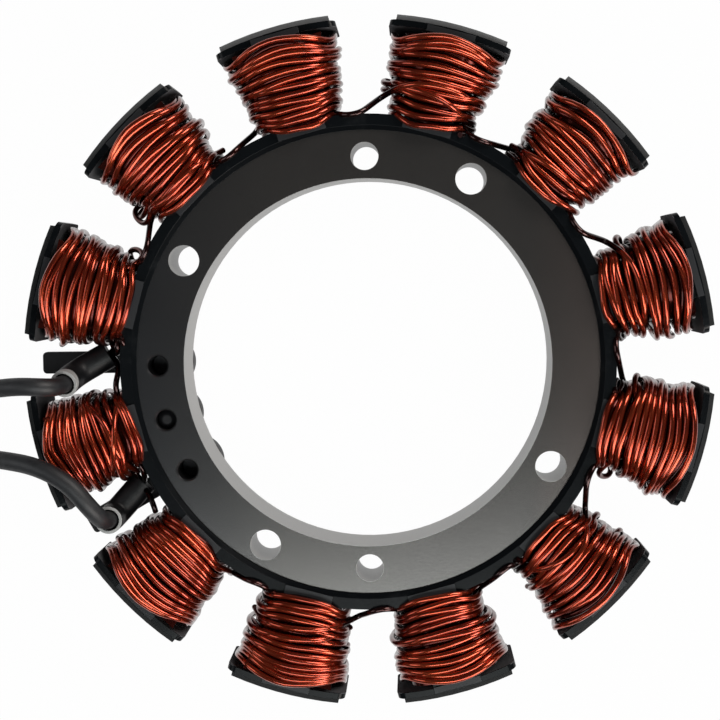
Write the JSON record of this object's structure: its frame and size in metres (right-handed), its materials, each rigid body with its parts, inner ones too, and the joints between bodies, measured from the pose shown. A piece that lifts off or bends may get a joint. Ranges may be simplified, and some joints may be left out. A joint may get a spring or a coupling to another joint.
{
  "type": "wound stator",
  "caption": "Flat ring stator with outward wound poles, moulded winding insulators, a bolted mounting ring and two flying leads.",
  "frame": {"origin": "centre of the bore on the rear steel face, which is the mounting face", "axes": "+Z along the bore axis out of the front face; +X and +Y across the ring, with the leads leaving towards -X and the two pilot holes on the Y axis"},
  "size_m": [0.2852, 0.19, 0.0431],
  "materials": {
    "core_steel": "blackened lamination steel, ground bore",
    "insulator": "black glass-filled nylon, satin",
    "winding": "red-brown enamelled copper wire, glossy",
    "bracket": "black moulded plastic",
    "screw": "black oxide steel",
    "sleeve": "black shrink sleeve with a pale cut end",
    "lead": "black rubber-insulated lead, satin",
    "tie": "black nylon",
    "terminal": "tinned copper"
  },
  "bodies": {
    "root": {"bracket_screw_1": "screw", "bracket_screw_2": "screw", "coil_01": "winding", "coil_02": "winding", "coil_03": "winding", "coil_04": "winding", "coil_05": "winding", "coil_06": "winding", "coil_07": "winding", "coil_08": "winding", "coil_09": "winding", "coil_10": "winding", "coil_11": "winding", "coil_12": "winding", "core": "core_steel", "crossover_01": "winding", "crossover_02": "winding", "crossover_03": "winding", "crossover_04": "winding", "crossover_05": "winding", "crossover_06": "winding", "crossover_07": "winding", "crossover_08": "winding", "crossover_09": "winding", "crossover_10": "winding", "front_insulator": "insulator", "lead_1": "lead", "lead_2": "lead", "lead_bracket": "bracket", "lead_coil_1": "lead", "lead_coil_2": "lead", "lead_sleeve_1": "sleeve", "lead_sleeve_2": "sleeve", "lead_terminal_1": "terminal", "lead_terminal_2": "terminal", "lead_tie_1": "tie", "lead_tie_2": "tie", "rear_insulator": "insulator", "winding_tail_1": "winding", "winding_tail_2": "winding"}
  },
  "joints": []
}
